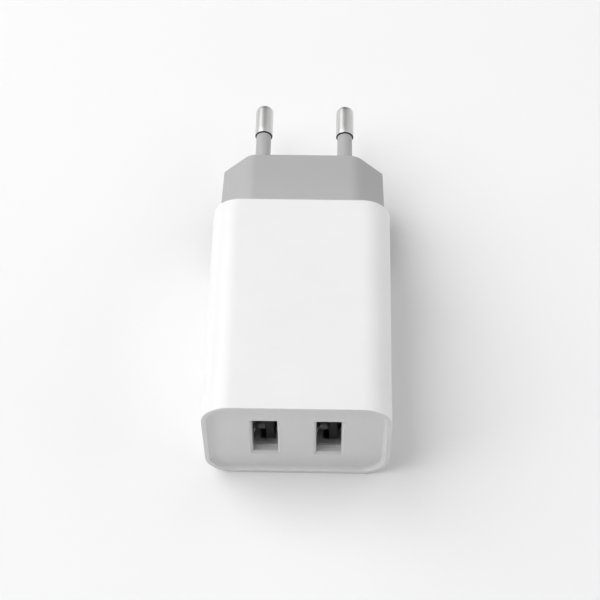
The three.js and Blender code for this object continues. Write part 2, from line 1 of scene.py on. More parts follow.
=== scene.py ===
"""The looks of a two-port USB wall charger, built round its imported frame.

Everything is in metres in the row frame: X across the width, Y from the ports to the pin tips, Z up.
Small sizes are written in millimetres times MM.
"""

import json
import math

import bmesh
import bpy
from mathutils import Matrix, Vector


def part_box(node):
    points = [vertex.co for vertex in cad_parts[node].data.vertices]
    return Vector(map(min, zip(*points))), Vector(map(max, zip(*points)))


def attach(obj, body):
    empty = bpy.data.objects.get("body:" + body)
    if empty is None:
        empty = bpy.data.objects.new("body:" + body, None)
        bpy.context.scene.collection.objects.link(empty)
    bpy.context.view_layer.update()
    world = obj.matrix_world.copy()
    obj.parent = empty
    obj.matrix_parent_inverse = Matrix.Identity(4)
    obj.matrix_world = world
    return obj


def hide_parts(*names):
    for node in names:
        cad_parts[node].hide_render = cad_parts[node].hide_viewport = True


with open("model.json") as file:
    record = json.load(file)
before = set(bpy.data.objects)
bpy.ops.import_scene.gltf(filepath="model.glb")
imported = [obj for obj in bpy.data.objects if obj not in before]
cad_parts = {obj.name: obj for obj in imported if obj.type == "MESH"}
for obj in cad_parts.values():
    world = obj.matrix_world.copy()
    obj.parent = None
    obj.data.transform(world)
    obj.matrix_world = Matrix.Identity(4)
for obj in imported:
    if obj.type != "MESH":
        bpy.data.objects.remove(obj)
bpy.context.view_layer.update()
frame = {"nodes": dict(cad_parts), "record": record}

MM = 0.001
BODY = "charger"

# Between fitted pieces, and the smallest broken edge
GAP = 0.1 * MM
EDGE_BREAK = 0.08 * MM

# Sizes of the casing
HOUSING_LOW, HOUSING_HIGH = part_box("main_housing")
HOUSING_WIDTH = HOUSING_HIGH.x - HOUSING_LOW.x
HOUSING_HEIGHT = HOUSING_HIGH.z - HOUSING_LOW.z
FRONT = HOUSING_LOW.y
HOUSING_BACK = HOUSING_HIGH.y
MID_HEIGHT = (HOUSING_LOW.z + HOUSING_HIGH.z) / 2
CORNER_RADIUS = 6 * MM
WALL = 1.6 * MM
RIM_WIDTH = 0.95 * MM
RIM_EDGE = 0.12 * MM
RECESS_DEPTH = 0.9 * MM
RECESS_FILLET = 0.85 * MM
FRONT_WALL = 2.1 * MM
FRONT_WALL_BACK = FRONT + RECESS_DEPTH + FRONT_WALL
END_ROUNDING = 0.6 * MM
CAP_LOW, CAP_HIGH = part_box("plug_end_cap")
CAP_RIM = CAP_LOW.x - HOUSING_LOW.x - GAP

# Sizes of the plug
PLUG_LOW, PLUG_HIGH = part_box("plug_base")
PLUG_FACE = PLUG_HIGH.y
PLUG_SEAM = 0.05 * MM
PLUG_START = HOUSING_BACK + PLUG_SEAM
PLUG_HEIGHT = PLUG_HIGH.z - PLUG_LOW.z
PLUG_WIDTH_AT_BODY = 37.3 * MM
PLUG_WIDTH_AT_FACE = 36.2 * MM
PLUG_FLAT_SHARE = 0.655
PLUG_BLEND_RADIUS = 3.6 * MM
PLUG_SIDE_RADIUS = 0.6 * MM
PLUG_FACE_WALL = 3 * MM
SPIGOT_WIDTH = 29 * MM
SPIGOT_HEIGHT = 9.6 * MM
SPIGOT_WALL = 1.7 * MM
SPIGOT_CORNER = 1.5 * MM
HOLE_CLEARANCE = 0.06 * MM
PIN_TIP_RADIUS = 2 * MM
PIN_CORE_RADIUS = 1.3 * MM
PIN_NOSE_LENGTH = 1.6 * MM
SLEEVE_RADIUS = 1.7 * MM
SLEEVE_HEAD_RADIUS = 2.4 * MM
SLEEVE_CLEARANCE = 0.05 * MM
SLEEVE_BORE = PIN_CORE_RADIUS + SLEEVE_CLEARANCE
SLEEVE_END = PLUG_FACE + 10.45 * MM
PIN_SHOULDER = SLEEVE_END + 0.02 * MM
PIN_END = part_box("pin_left")[1].y
PIN_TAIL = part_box("pin_left")[0].y

# Sizes of the ports
WINDOW_WIDTH = 5.2 * MM
WINDOW_HEIGHT = 12.9 * MM
WINDOW_CHAMFER = 0.5 * MM
WINDOW_CORNER = 0.2 * MM
SHELL_SHEET = 0.3 * MM
SHELL_BEND = 0.35 * MM
SLOT_START = 1.2 * MM
SLOT_END = 3.55 * MM
NARROW_SLOT_WIDTH = 2.2 * MM
WIDE_SLOT_WIDTH = 1.8 * MM
WIDE_SLOT_PLACES = (-3.3 * MM, 3.3 * MM)
FINGER_WIDTH = 1.2 * MM
FINGER_PRESS = 0.45 * MM
FINGER_ROOT = 0.15 * MM
# A finger's curve: shares of its length and of its press
FINGER_CURVE = ((0.1, 0.2), (0.35, 1), (0.65, 0.7))
RAMP_RISE = 0.45 * MM
RAMP_LENGTH = 1.5 * MM
RAMP_WIDTH = 3.7 * MM
# The ramp's curve: shares of its length and of its rise
RAMP_CURVE = ((0, 0), (0.35, 0.6), (0.7, 1), (1, 1))
# Pressing thins the sheet
PRESSED_SHEET = 0.8 * SHELL_SHEET
TONGUE_THICKNESS = 1.84 * MM
TONGUE_HEIGHT = 11.1 * MM
TONGUE_NOSE = 0.35 * MM
BLOCK_LENGTH = 4 * MM
GROOVE_DEPTH = 1.05 * MM
GROOVE_START = 1 * MM
GROOVE_RUN = 1.4 * MM
CONTACT_ROWS = [row * MM for row in (-3.5, -1, 1, 3.5)]
CONTACT_WIDTH = 1 * MM
CONTACT_SHEET = 0.2 * MM
CONTACT_SEAT = 0.17 * MM
CONTACT_STRAIGHT = 6.1 * MM
# A contact's curve: how far behind its tip in mm, and its share of the bow
CONTACT_CURVE = ((0, -0.45), (0.75, 0.35), (1.75, 1), (3.4, 0.5))
# Beyond what a cutting block must clear
BEYOND = 1 * MM

# How finely round things are divided
CORNER_STEPS = 6
CURVE_STEPS = 6
HOLE_STEPS = 48
TURNED_STEPS = 64

# Faces that meet at more than this many degrees keep a crisp edge
CRISP_ANGLE = 35
CRISP_ANGLE_OF_CONTACT = 50

SIDES = ("left", "right")


# Materials

# The part of a noise pattern's range that its blends are stretched over
PATTERN_LOW = 0.3
PATTERN_HIGH = 0.7


class Nodes:
    """A material's node tree, with short names for what the finishes here need."""

    def __init__(self, name, **sockets):
        self.material = bpy.data.materials.new(name)
        self.material.use_nodes = True
        self.tree = self.material.node_tree
        self.shader = self.tree.nodes["Principled BSDF"]
        for socket, value in sockets.items():
            self.shader.inputs[socket.replace("_", " ")].default_value = value
        self.place = self.tree.nodes.new("ShaderNodeTexCoord").outputs["Object"]

    def link(self, output, target):
        self.tree.links.new(output, target)

    def stretched(self, scale):
        """The object's own coordinates, scaled differently along each axis."""
        mapping = self.tree.nodes.new("ShaderNodeMapping")
        mapping.inputs["Scale"].default_value = scale
        self.link(self.place, mapping.inputs["Vector"])
        return mapping.outputs["Vector"]

    def noise(self, scale, detail=2.0, place=None):
        node = self.tree.nodes.new("ShaderNodeTexNoise")
        node.inputs["Scale"].default_value = scale
        node.inputs["Detail"].default_value = detail
        self.link(place or self.place, node.inputs["Vector"])
        return node.outputs["Fac"]

    def ramp(self, factor, low, high):
        """A blend between two colours by one pattern."""
        node = self.tree.nodes.new("ShaderNodeValToRGB")
        node.color_ramp.elements[0].position = PATTERN_LOW
        node.color_ramp.elements[1].position = PATTERN_HIGH
        node.color_ramp.elements[0].color = (*low, 1)
        node.color_ramp.elements[1].color = (*high, 1)
        self.link(factor, node.inputs["Fac"])
        return node.outputs["Color"]

    def between(self, factor, low, high):
        """A blend between two numbers by one pattern."""
        node = self.tree.nodes.new("ShaderNodeMapRange")
        node.inputs["From Min"].default_value = PATTERN_LOW
        node.inputs["From Max"].default_value = PATTERN_HIGH
        node.inputs["To Min"].default_value = low
        node.inputs["To Max"].default_value = high
        self.link(factor, node.inputs["Value"])
        return node.outputs["Result"]

    def bump(self, height, distance, strength):
        node = self.tree.nodes.new("ShaderNodeBump")
        node.inputs["Distance"].default_value = distance
        node.inputs["Strength"].default_value = strength
        self.link(height, node.inputs["Height"])
        return node.outputs["Normal"]

    def colour(self, output):
        self.link(output, self.shader.inputs["Base Color"])

    def roughness(self, output):
        self.link(output, self.shader.inputs["Roughness"])

    def normal(self, output):
        self.link(output, self.shader.inputs["Normal"])


def shade(colour, factor):
    return tuple(channel * factor for channel in colour)


def moulded_plastic(name, colour, roughness, grain=3500, depth=0.004 * MM, **sockets):
    """Injection-moulded plastic: a faint cloudiness, and the fine grain of a spark-eroded mould."""
    nodes = Nodes(name, **sockets)
    cloud = nodes.noise(90, 3)
    nodes.colour(nodes.ramp(cloud, shade(colour, 0.985), shade(colour, 1.01)))
    nodes.roughness(nodes.between(nodes.noise(400, 4), roughness - 0.03, roughness + 0.03))
    fine = nodes.noise(grain, 2)
    nodes.normal(nodes.bump(fine, depth, 0.5))
    return nodes.material


def plated_metal(name, colour, roughness, grain_scale, depth=0.002 * MM, **sockets):
    """Plated or rolled metal: fine lines along one direction, and slightly uneven gloss."""
    nodes = Nodes(name, **{"Metallic": 1.0, **sockets})
    lines = nodes.noise(1, 3, nodes.stretched(grain_scale))
    patches = nodes.noise(700, 3)
    nodes.colour(nodes.ramp(patches, shade(colour, 0.97), colour))
    nodes.roughness(nodes.between(lines, roughness - 0.02, roughness + 0.02))
    nodes.normal(nodes.bump(lines, depth, 0.8))
    return nodes.material


def circuit_board_material():
    """Green solder mask with paler copper tracks showing through and scattered pads."""
    nodes = Nodes("circuit_board", Coat_Weight=0.4, Coat_Roughness=0.2)
    tracks = nodes.tree.nodes.new("ShaderNodeTexBrick")
    tracks.inputs["Scale"].default_value = 120
    tracks.inputs["Mortar Size"].default_value = 0.03
    tracks.inputs["Color1"].default_value = (0.012, 0.1, 0.045, 1)
    tracks.inputs["Color2"].default_value = (0.015, 0.12, 0.05, 1)
    tracks.inputs["Mortar"].default_value = (0.03, 0.2, 0.09, 1)
    nodes.link(nodes.place, tracks.inputs["Vector"])
    nodes.colour(tracks.outputs["Color"])
    nodes.roughness(nodes.between(nodes.noise(500), 0.35, 0.5))
    nodes.normal(nodes.bump(tracks.outputs["Fac"], 0.03 * MM, 0.5))
    return nodes.material


def wound_tape():
    """Polyester tape: close horizontal laps round the winding."""
    nodes = Nodes("winding_tape", Coat_Weight=0.3)
    laps = nodes.noise(1, 1, nodes.stretched((40, 40, 1800)))
    nodes.colour(nodes.ramp(laps, (0.5, 0.33, 0.04), (0.68, 0.5, 0.08)))
    nodes.roughness(nodes.between(nodes.noise(600), 0.25, 0.4))
    nodes.normal(nodes.bump(laps, 0.05 * MM, 0.8))
    return nodes.material


def sintered_ferrite():
    nodes = Nodes("ferrite")
    grain = nodes.noise(2500, 4)
    nodes.colour(nodes.ramp(grain, (0.025, 0.025, 0.028), (0.06, 0.06, 0.065)))
    nodes.roughness(nodes.between(grain, 0.55, 0.8))
    nodes.normal(nodes.bump(grain, 0.02 * MM, 0.8))
    return nodes.material


MATERIALS = {
    "white_housing_plastic": moulded_plastic("white_housing_plastic", (0.8, 0.8, 0.8), 0.32),
    "grey_plug_plastic": moulded_plastic("grey_plug_plastic", (0.4, 0.4, 0.4), 0.42, depth=0.006 * MM),
    "grey_sleeve_plastic": moulded_plastic("grey_sleeve_plastic", (0.4, 0.4, 0.4), 0.42),
    "black_moulding": moulded_plastic(
        "black_moulding", (0.012, 0.012, 0.013), 0.45, Specular_IOR_Level=0.12
    ),
    "capacitor_sleeve": moulded_plastic("capacitor_sleeve", (0.012, 0.018, 0.05), 0.25, grain=900),
    "blue_coating": moulded_plastic("blue_coating", (0.015, 0.07, 0.25), 0.3, grain=1200, depth=0.02 * MM),
    "nickel_plating": plated_metal(
        "nickel_plating", (0.7, 0.695, 0.69), 0.36, (200, 3500, 200), 0.0002 * MM
    ),
    # A near-black metal for the pins' step ring: painted shade and a painted dark reflection, not a real
    # finish of the plating.
    "pin_shoulder_painted_shade": plated_metal("pin_shoulder_painted_shade", (0.12, 0.118, 0.115), 0.5, (900, 900, 900)),
    "port_steel": plated_metal(
        "port_steel", (0.8, 0.8, 0.8), 0.45, (600, 6000, 600), 0.001 * MM, Metallic=0.8
    ),
    "spring_brass": plated_metal("spring_brass", (0.92, 0.9, 0.86), 0.35, (4000, 500, 4000), Metallic=0.85),
    "circuit_board": circuit_board_material(),
    "winding_tape": wound_tape(),
    "ferrite": sintered_ferrite(),
}


# Outlines in the plane across the charger, and profiles along it


def arc(centre, radius, start, end, steps):
    """Points of an arc between two angles in degrees, both ends included."""
    angles = [math.radians(start + (end - start) * step / steps) for step in range(steps + 1)]
    return [(centre[0] + radius * math.cos(a), centre[1] + radius * math.sin(a)) for a in angles]


def corner_arc(before, corner, after, radius, steps):
    """Points of the arc of that radius that touches both sides of a polygon's corner."""
    to_before = (before - corner).normalized()
    to_after = (after - corner).normalized()
    half_angle = math.acos(to_before.dot(to_after)) / 2
    reach = radius / math.tan(half_angle)
    centre = corner + (to_before + to_after).normalized() * (radius / math.sin(half_angle))
    first = corner + to_before * reach - centre
    last = corner + to_after * reach - centre
    start = math.atan2(first.y, first.x)
    turn = (math.atan2(last.y, last.x) - start + math.pi) % (2 * math.pi) - math.pi
    angles = [start + turn * step / steps for step in range(steps + 1)]
    return [(centre.x + radius * math.cos(a), centre.y + radius * math.sin(a)) for a in angles]


def rounded_outline(corners, steps):
    """A polygon's outline with round corners; corners are (x, z, radius), anticlockwise."""
    places = [Vector(corner[:2]) for corner in corners]
    points = []
    for index, (_, _, radius) in enumerate(corners):
        before = places[index - 1]
        after = places[(index + 1) % len(places)]
        points += corner_arc(before, places[index], after, radius, steps)
    return points


def rounded_rectangle(width, height, radius, x=0.0, steps=CORNER_STEPS):
    signs = ((-1, -1), (1, -1), (1, 1), (-1, 1))
    corners = [(x + sx * width / 2, MID_HEIGHT + sz * height / 2, radius) for sx, sz in signs]
    return rounded_outline(corners, steps)


def housing_outline(inset):
    return rounded_rectangle(
        HOUSING_WIDTH - 2 * inset, HOUSING_HEIGHT - 2 * inset, CORNER_RADIUS - inset, steps=20
    )


def plug_outline(inset, width):
    """The plug base's six sides: flat above and below, a blunt point on each side."""
    side = width / 2 - inset
    flat = width / 2 * PLUG_FLAT_SHARE - inset / 2
    rise = PLUG_HEIGHT / 2 - inset
    corners = [
        (-side, MID_HEIGHT, PLUG_SIDE_RADIUS),
        (-flat, MID_HEIGHT - rise, PLUG_BLEND_RADIUS),
        (flat, MID_HEIGHT - rise, PLUG_BLEND_RADIUS),
        (side, MID_HEIGHT, PLUG_SIDE_RADIUS),
        (flat, MID_HEIGHT + rise, PLUG_BLEND_RADIUS),
        (-flat, MID_HEIGHT + rise, PLUG_BLEND_RADIUS),
    ]
    return rounded_outline(corners, 12)


def circle(x, radius, steps):
    points = arc((x, MID_HEIGHT), radius, 0, 360, steps)
    return points[:-1]


# Meshes


class Skin:
    """A mesh grown ring by ring from outlines placed along Y."""

    def __init__(self):
        self.mesh = bmesh.new()

    def ring(self, outline, y):
        return [self.mesh.verts.new((x, y, z)) for x, z in outline]

    def band(self, near, far):
        count = len(near)
        for index in range(count):
            following = (index + 1) % count
            self.mesh.faces.new((near[index], near[following], far[following], far[index]))

    def tube(self, sections):
        """Bands through (outline, y) sections; returns the first and last rings."""
        rings = [self.ring(outline, y) for outline, y in sections]
        for near, far in zip(rings, rings[1:]):
            self.band(near, far)
        return rings[0], rings[-1]

    def flat(self, boundary, *holes):
        """A flat wall inside one ring, with the other rings as its holes."""
        if not holes:
            self.mesh.faces.new(boundary)
            return
        edges = []
        for ring in (boundary, *holes):
            for pair in zip(ring, [*ring[1:], ring[0]]):
                edges.append(self.mesh.edges.get(pair) or self.mesh.edges.new(pair))
        bmesh.ops.triangle_fill(self.mesh, edges=edges, use_beauty=True, use_dissolve=False)

    def data(self, name):
        """The finished mesh data; the skin can't be used after this."""
        bmesh.ops.recalc_face_normals(self.mesh, faces=self.mesh.faces)
        data = bpy.data.meshes.new(name)
        self.mesh.to_mesh(data)
        self.mesh.free()
        return data

    def finish(self, name, slot, nodes):
        return place_piece(name, self.data(name), slot, nodes)


def place_piece(name, data, slot, nodes, body=BODY, crisp_angle=CRISP_ANGLE):
    """Turns mesh data into a finished piece: smooth shading, material, body and replaced nodes."""
    data.shade_smooth()
    data.set_sharp_from_angle(angle=math.radians(crisp_angle))
    data.materials.clear()
    data.materials.append(MATERIALS[slot])
    piece = bpy.data.objects.new(name, data)
    bpy.context.scene.collection.objects.link(piece)
    weights = piece.modifiers.new("even_normals", "WEIGHTED_NORMAL")
    weights.keep_sharp = True
    weights.weight = 90
    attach(piece, body)
    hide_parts(*nodes)
    return piece


def along(start, end, pieces):
    """Evenly spaced values from start to end."""
    return [start + (end - start) * step / pieces for step in range(pieces + 1)]


def turned(profile, x):
    """A skin turned round an axis along Y through (x, MID_HEIGHT); a profile of (radius, y) pairs."""
    skin = Skin()
    first, last = skin.tube([(circle(x, radius, TURNED_STEPS), y) for radius, y in profile])
    return skin, first, last


def catmull_rom(a, b, c, d, t):
    """The spline through b and c at fraction t of the way, with a and d as their neighbours."""
    square = (2 * a - 5 * b + 4 * c - d) * t**2
    cube = (3 * b - a - 3 * c + d) * t**3
    return 0.5 * (2 * b + (c - a) * t + square + cube)


def smooth_line(points):
    """A smooth curve through the points, as a Catmull-Rom spline."""
    padded = [points[0], *points, points[-1]]
    line = []
    for a, b, c, d in zip(padded, padded[1:], padded[2:], padded[3:]):
        for step in range(CURVE_STEPS):
            t = step / CURVE_STEPS
            line.append(tuple(catmull_rom(*axis, t) for axis in zip(a, b, c, d)))
    return [*line, points[-1]]


def ribbon(key_points, thickness, middle, width):
    """A sheet strip: a smooth centre line in the plane of X and Y, given a width across Z."""
    line = [Vector(point) for point in smooth_line(key_points)]
    near, far = [], []
    for index, point in enumerate(line):
        direction = line[min(index + 1, len(line) - 1)] - line[max(index - 1, 0)]
        direction.normalize()
        offset = Vector((-direction.y, direction.x)) * thickness / 2
        near.append(point - offset)
        far.append(point + offset)
    outline = near + far[::-1]
    skin = Skin()
    lower, upper = (
        [skin.mesh.verts.new((point.x, point.y, z)) for point in outline]
        for z in (middle - width / 2, middle + width / 2)
    )
    skin.band(lower, upper)
    last = len(outline) - 1
    for ring in (lower, upper):
        for index in range(len(near) - 1):
            opposite = last - index
            skin.mesh.faces.new((ring[index], ring[index + 1], ring[opposite - 1], ring[opposite]))
    return skin.data("ribbon")


def block_mesh(low, high):
    """Mesh data of a box between two corners."""
    skin = bmesh.new()
    bmesh.ops.create_cube(skin, size=1)
    size = Vector(high) - Vector(low)
    middle = (Vector(high) + Vector(low)) / 2
    bmesh.ops.scale(skin, vec=size, verts=skin.verts)
    bmesh.ops.translate(skin, vec=middle, verts=skin.verts)
    data = bpy.data.meshes.new("block")
    skin.to_mesh(data)
    skin.free()
    return data


def merged(parts):
    """One mesh data block holding several closed shells."""
    skin = bmesh.new()
    for part in parts:
        skin.from_mesh(part)
    data = bpy.data.meshes.new("merged")
    skin.to_mesh(data)
    skin.free()
    return data


def shaped(data, cuts=(), joins=(), bevel=0.0):
    """Mesh data after cutting and joining other mesh data and rounding the edges."""
    target = bpy.data.objects.new("blank", data)
    bpy.context.scene.collection.objects.link(target)
    tools = []
    for operation, meshes in (("UNION", joins), ("DIFFERENCE", cuts)):
        for mesh in meshes:
            tool = bpy.data.objects.new("tool", mesh)
            bpy.context.scene.collection.objects.link(tool)
            tools.append(tool)
            step = target.modifiers.new("step", "BOOLEAN")
            step.operation = operation
            step.solver = "EXACT"
            step.object = tool
    if bevel:
        rounding = target.modifiers.new("rounding", "BEVEL")
        rounding.width = bevel
        rounding.segments = 3
        rounding.limit_method = "ANGLE"
        rounding.angle_limit = math.radians(40)
    bpy.context.view_layer.update()
    evaluated = target.evaluated_get(bpy.context.evaluated_depsgraph_get())
    result = bpy.data.meshes.new_from_object(evaluated)
    for scrap in (target, *tools):
        bpy.data.objects.remove(scrap)
    return result


# Casing


def port_centre(side):
    low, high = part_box(f"usb_port_{side}_shell")
    return (low.x + high.x) / 2


def window_sections(x):
    """A window's lining: a chamfer at its front edge, then straight to the back of the front wall."""
    recess_floor = FRONT + RECESS_DEPTH
    grow = 2 * WINDOW_CHAMFER
    mouth = rounded_rectangle(WINDOW_WIDTH + grow, WINDOW_HEIGHT + grow, WINDOW_CORNER, x)
    throat = rounded_rectangle(WINDOW_WIDTH, WINDOW_HEIGHT, WINDOW_CORNER, x)
    return [(mouth, recess_floor), (throat, recess_floor + WINDOW_CHAMFER), (throat, FRONT_WALL_BACK)]


def make_housing():
    length = HOUSING_BACK - FRONT
    seat = CAP_LOW.y - GAP - FRONT
    rim_inner = RECESS_DEPTH - RECESS_FILLET
    profile = [
        *arc((RIM_WIDTH + RECESS_FILLET, rim_inner), RECESS_FILLET, 90, 180, 12),
        *arc((RIM_WIDTH - rim_inner, rim_inner), rim_inner, 0, -90, 3)[1:],
        *arc((RIM_EDGE, RIM_EDGE), RIM_EDGE, -90, -180, 5),
        *[(0, y) for y in along(RIM_EDGE, length - END_ROUNDING, 8)[1:-1]],
        *arc((END_ROUNDING, length - END_ROUNDING), END_ROUNDING, 180, 90, 8),
        (CAP_RIM - EDGE_BREAK, length),
        (CAP_RIM, length - EDGE_BREAK),
        (CAP_RIM, seat),
        (WALL, seat),
        *[(WALL, y) for y in along(seat, FRONT_WALL_BACK - FRONT, 8)[1:]],
    ]
    skin = Skin()
    recess_ring, cavity_ring = skin.tube([(housing_outline(inset), FRONT + y) for inset, y in profile])
    windows = [skin.tube(window_sections(port_centre(side))) for side in SIDES]
    skin.flat(recess_ring, *[first for first, _ in windows])
    skin.flat(cavity_ring, *[last for _, last in windows])
    return skin.finish("housing_moulding", "white_housing_plastic", ["main_housing"])


def make_end_cap():
    """The plate let into the plug end, open in the middle for the plug base's spigot."""
    inset = CAP_RIM + GAP
    opening = rounded_rectangle(SPIGOT_WIDTH + 2 * GAP, SPIGOT_HEIGHT + 2 * GAP, SPIGOT_CORNER)
    skin = Skin()
    inner, outer = skin.tube(
        [
            (housing_outline(inset), CAP_LOW.y),
            (housing_outline(inset), CAP_HIGH.y - EDGE_BREAK),
            (housing_outline(inset + EDGE_BREAK), CAP_HIGH.y),
        ]
    )
    lining = skin.tube([(opening, CAP_LOW.y), (opening, CAP_HIGH.y)])
    skin.flat(inner, lining[0])
    skin.flat(outer, lining[1])
    return skin.finish("plug_end_plate", "white_housing_plastic", ["plug_end_cap"])


# Plug


def pin_centre(side):
    low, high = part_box(f"pin_{side}")
    return (low.x + high.x) / 2


def make_plug_base():
    """The grey plug block: a hollow six-sided prism with a spigot behind and two pin holes in its face."""
    near_edge = 0.15 * MM
    far_edge = 0.45 * MM
    length = PLUG_FACE - PLUG_START

    def section(inset, y):
        share = (y - PLUG_START) / length
        width = PLUG_WIDTH_AT_BODY + (PLUG_WIDTH_AT_FACE - PLUG_WIDTH_AT_BODY) * share
        return plug_outline(inset, width), y

    profile = [
        *arc((near_edge, PLUG_START + near_edge), near_edge, 270, 180, 4),
        *[(0, y) for y in along(PLUG_START + near_edge, PLUG_FACE - far_edge, 6)[1:-1]],
        *arc((far_edge, PLUG_FACE - far_edge), far_edge, 180, 90, 7),
    ]
    skin = Skin()
    back_ring, face_ring = skin.tube([section(inset, y) for inset, y in profile])
    wall_back = PLUG_FACE - PLUG_FACE_WALL
    spigot = rounded_rectangle(SPIGOT_WIDTH, SPIGOT_HEIGHT, SPIGOT_CORNER)
    hollow_width = SPIGOT_WIDTH - 2 * SPIGOT_WALL
    hollow_height = SPIGOT_HEIGHT - 2 * SPIGOT_WALL
    hollow = rounded_rectangle(hollow_width, hollow_height, SPIGOT_CORNER / 2)
    spigot_ring, spigot_end = skin.tube([(spigot, PLUG_START), (spigot, PLUG_LOW.y)])
    hollow_mouth, hollow_end = skin.tube([(hollow, PLUG_LOW.y), (hollow, wall_back)])
    skin.flat(back_ring, spigot_ring)
    skin.flat(spigot_end, hollow_mouth)
    hole = SLEEVE_RADIUS + HOLE_CLEARANCE
    chamfer = 0.12 * MM
    holes = []
    for side in SIDES:
        x = pin_centre(side)
        sections = [
            (circle(x, hole, HOLE_STEPS), wall_back),
            (circle(x, hole, HOLE_STEPS), PLUG_FACE - chamfer),
            (circle(x, hole + chamfer, HOLE_STEPS), PLUG_FACE),
        ]
        holes.append(skin.tube(sections))
    skin.flat(hollow_end, *[first for first, _ in holes])
    skin.flat(face_ring, *[last for _, last in holes])
    return skin.finish("plug_block", "grey_plug_plastic", ["plug_base"])


def make_pin(side):
    """A pin: a thin core inside the sleeve, then the thicker bare end with its rounded nose."""
    edge = 0.06 * MM
    nose_start = PIN_END - PIN_NOSE_LENGTH
    nose = arc((0, 0), 1, 0, 84, 14)
    profile = [
        (PIN_CORE_RADIUS - edge, PIN_TAIL),
        (PIN_CORE_RADIUS, PIN_TAIL + edge),
        (PIN_CORE_RADIUS, PIN_SHOULDER),
        (PIN_TIP_RADIUS - edge, PIN_SHOULDER),
        *arc((PIN_TIP_RADIUS - edge, PIN_SHOULDER + edge), edge, -90, 0, 5)[1:],
        *[(PIN_TIP_RADIUS, y) for y in along(PIN_SHOULDER + edge, nose_start, 4)[1:-1]],
        *[(PIN_TIP_RADIUS * across, nose_start + PIN_NOSE_LENGTH * forward) for across, forward in nose],
    ]
    skin, tail, tip = turned(profile, pin_centre(side))
    skin.flat(tail)
    nose_point = skin.mesh.verts.new((pin_centre(side), PIN_END, MID_HEIGHT))
    for index, vertex in enumerate(tip):
        skin.mesh.faces.new((vertex, tip[(index + 1) % len(tip)], nose_point))
    pin = skin.finish(f"plug_pin_{side}", "nickel_plating", [f"pin_{side}"])
    # Paints the step ring dark: painted shade and a painted dark reflection.
    paint_shoulder_shade(pin.data)
    return pin


def paint_shoulder_shade(data):
    """The step behind the bare end gets a dark, dull metal: painted shade and a painted dark reflection on
    the plating, not its own colour.
    """
    flatness = 0.01 * MM
    data.materials.append(MATERIALS["pin_shoulder_painted_shade"])
    for face in data.polygons:
        if abs(face.center.y - PIN_SHOULDER) < flatness:
            face.material_index = data.materials.find("pin_shoulder_painted_shade")


def make_sleeve(side):
    """The insulating sleeve: a headed tube, slightly rounded where it meets the bare end."""
    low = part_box(f"pin_sleeve_{side}")[0].y
    head = PLUG_FACE - PLUG_FACE_WALL - GAP
    end = SLEEVE_END - GAP
    edge = 0.15 * MM
    profile = [
        (SLEEVE_BORE, low),
        (SLEEVE_HEAD_RADIUS, low),
        (SLEEVE_HEAD_RADIUS, head),
        *[(SLEEVE_RADIUS, y) for y in along(head, end - edge, 5)],
        *arc((SLEEVE_RADIUS - edge, end - edge), edge, 0, 90, 4)[1:],
        (SLEEVE_BORE, end),
    ]
    skin, first, last = turned(profile, pin_centre(side))
    skin.band(last, first)
    return skin.finish(f"insulating_sleeve_{side}", "grey_sleeve_plastic", [f"pin_sleeve_{side}"])


# Ports


def wall_finger(x, side_sign, row, low, high):
    """A spring finger of a wide wall: rooted at the slot's far end, pressed inwards, its tip turned out."""
    wall = high.x - SHELL_SHEET / 2 if side_sign > 0 else low.x + SHELL_SHEET / 2
    start = low.y + SLOT_START
    end = low.y + SLOT_END
    length = end - start
    inwards = -side_sign * FINGER_PRESS
    key_points = [(wall + press * inwards, start + reach * length) for reach, press in FINGER_CURVE]
    key_points.append((wall, end + FINGER_ROOT))
    return ribbon(key_points, PRESSED_SHEET, MID_HEIGHT + row, FINGER_WIDTH)


def narrow_ramp(x, low):
    """The part of the lower narrow wall behind its slot, pressed up into the port."""
    wall = low.z + SHELL_SHEET / 2
    start = low.y + SLOT_END
    key_points = [(wall + rise * RAMP_RISE, start + reach * RAMP_LENGTH) for reach, rise in RAMP_CURVE]
    data = ribbon(key_points, PRESSED_SHEET, -x, RAMP_WIDTH)
    data.transform(Matrix.Rotation(-math.pi / 2, 4, "Y"))
    return data


def make_port_shell(side):
    """A folded steel shell: slots and a ramp in the narrow walls, spring fingers in the wide ones."""
    node = f"usb_port_{side}_shell"
    low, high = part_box(node)
    x = port_centre(side)
    width = high.x - low.x
    height = high.z - low.z
    skin = Skin()
    outside = rounded_rectangle(width, height, SHELL_BEND + SHELL_SHEET, x)
    inside = rounded_rectangle(width - 2 * SHELL_SHEET, height - 2 * SHELL_SHEET, SHELL_BEND, x)
    outer = skin.tube([(outside, low.y), (outside, high.y)])
    inner = skin.tube([(inside, low.y), (inside, high.y)])
    skin.band(outer[0], inner[0])
    skin.band(outer[1], inner[1])
    tube = skin.data("tube")
    near = low.y + SLOT_START
    far = low.y + SLOT_END
    narrow_low = (x - NARROW_SLOT_WIDTH / 2, near, low.z - BEYOND)
    narrow_high = (x + NARROW_SLOT_WIDTH / 2, far, high.z + BEYOND)
    cuts = [block_mesh(narrow_low, narrow_high)]
    for row in WIDE_SLOT_PLACES:
        middle = MID_HEIGHT + row
        wide_low = (low.x - BEYOND, near, middle - WIDE_SLOT_WIDTH / 2)
        wide_high = (high.x + BEYOND, far, middle + WIDE_SLOT_WIDTH / 2)
        cuts.append(block_mesh(wide_low, wide_high))
    fingers = [wall_finger(x, sign, row, low, high) for sign in (-1, 1) for row in WIDE_SLOT_PLACES]
    data = merged([shaped(tube, cuts=cuts), narrow_ramp(x, low), *fingers])
    return place_piece(f"port_shell_{side}", data, "port_steel", [node])


